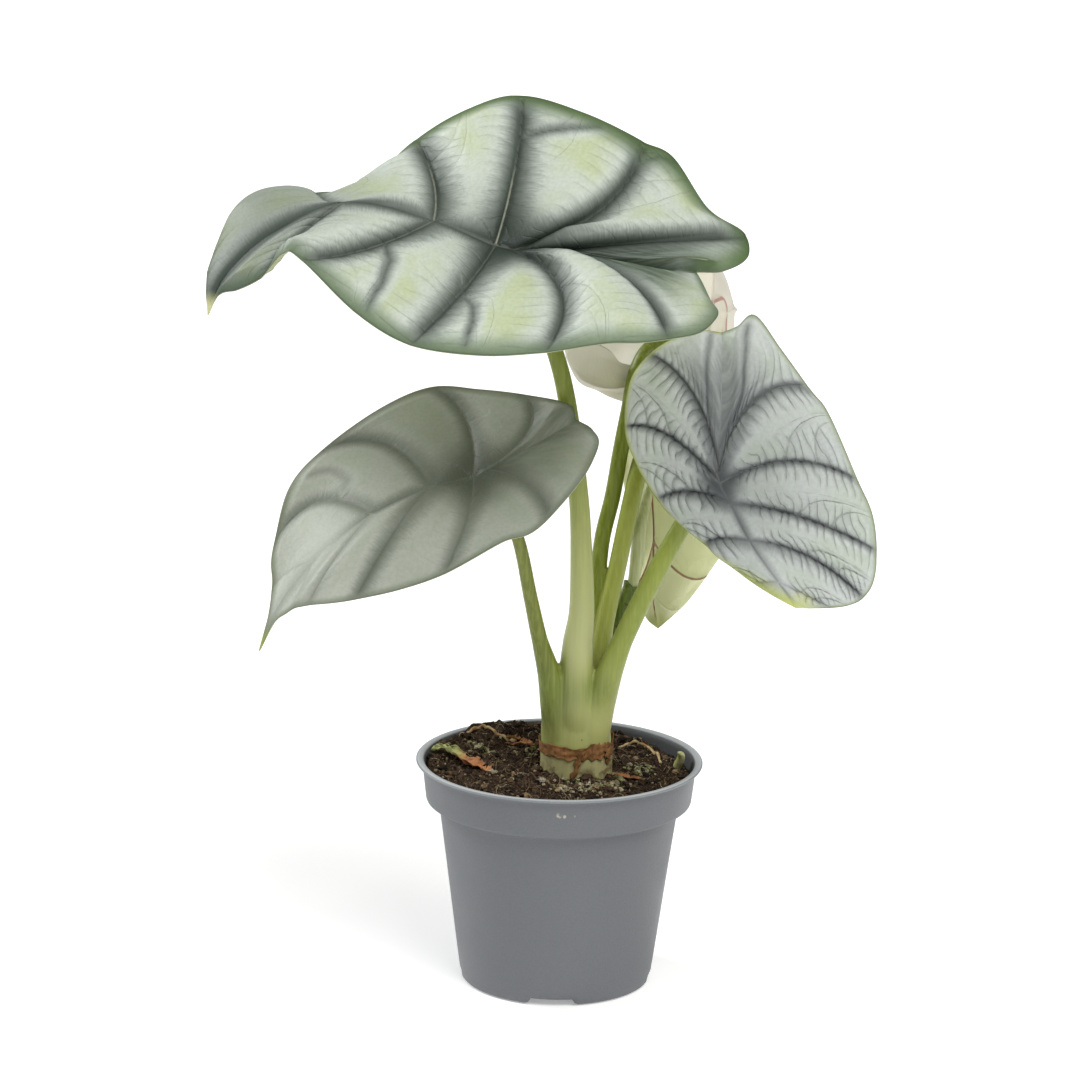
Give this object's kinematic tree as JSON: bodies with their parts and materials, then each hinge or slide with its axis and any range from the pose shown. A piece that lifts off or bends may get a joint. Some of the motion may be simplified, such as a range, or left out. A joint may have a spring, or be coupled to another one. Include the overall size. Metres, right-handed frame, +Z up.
{
  "type": "potted plant",
  "caption": "Potted aroid house plant with large quilted silver-green heart-shaped leaves on upright stalks, rooted in soil in a tapered nursery pot.",
  "frame": {"origin": "centre of the pot's underside on the surface it stands on", "axes": "+Z up, +X to the right and +Y away from the viewer when the plant is seen from its front"},
  "size_m": [0.2734, 0.1791, 0.3673],
  "materials": {
    "pot": "matte injection-moulded plastic",
    "soil": "damp crumbly peat",
    "stem_base": "pale green fleshy stem",
    "petiole_top": "smooth yellow-green stalk",
    "petiole_left": "smooth green stalk",
    "petiole_right": "smooth green stalk",
    "petiole_upper_back": "smooth olive stalk",
    "petiole_lower_back": "smooth olive stalk",
    "leaf_top": "silver-mint quilted blade with dark veins",
    "leaf_left": "silver-olive quilted blade with dark veins",
    "leaf_right": "cool silver quilted blade with dark veins",
    "leaf_upper_back": "cream underside with reddish veins",
    "leaf_lower_back": "pale yellow-green underside with reddish veins",
    "new_leaf_roll": "pale rolled new leaf",
    "new_leaf_sheath": "dark green sheath",
    "scar_collar": "brown papery leaf scar",
    "dry_sheath_scrap": "dry papery scrap",
    "withered_leaf_scrap": "withered papery leaf piece",
    "root_strand_left": "thin dry root",
    "root_strand_right": "thin dry root",
    "sprout": "small green sprout"
  },
  "bodies": {
    "root": {"pot": "pot", "soil": "soil", "stem_base": "stem_base", "petiole_top": "petiole_top", "petiole_left": "petiole_left", "petiole_right": "petiole_right", "petiole_upper_back": "petiole_upper_back", "petiole_lower_back": "petiole_lower_back", "leaf_top": "leaf_top", "leaf_left": "leaf_left", "leaf_right": "leaf_right", "leaf_upper_back": "leaf_upper_back", "leaf_lower_back": "leaf_lower_back", "new_leaf_roll": "new_leaf_roll", "new_leaf_sheath": "new_leaf_sheath", "scar_collar": "scar_collar", "dry_sheath_scrap": "dry_sheath_scrap", "withered_leaf_scrap": "withered_leaf_scrap", "root_strand_left": "root_strand_left", "root_strand_right": "root_strand_right", "sprout": "sprout"}
  },
  "joints": []
}
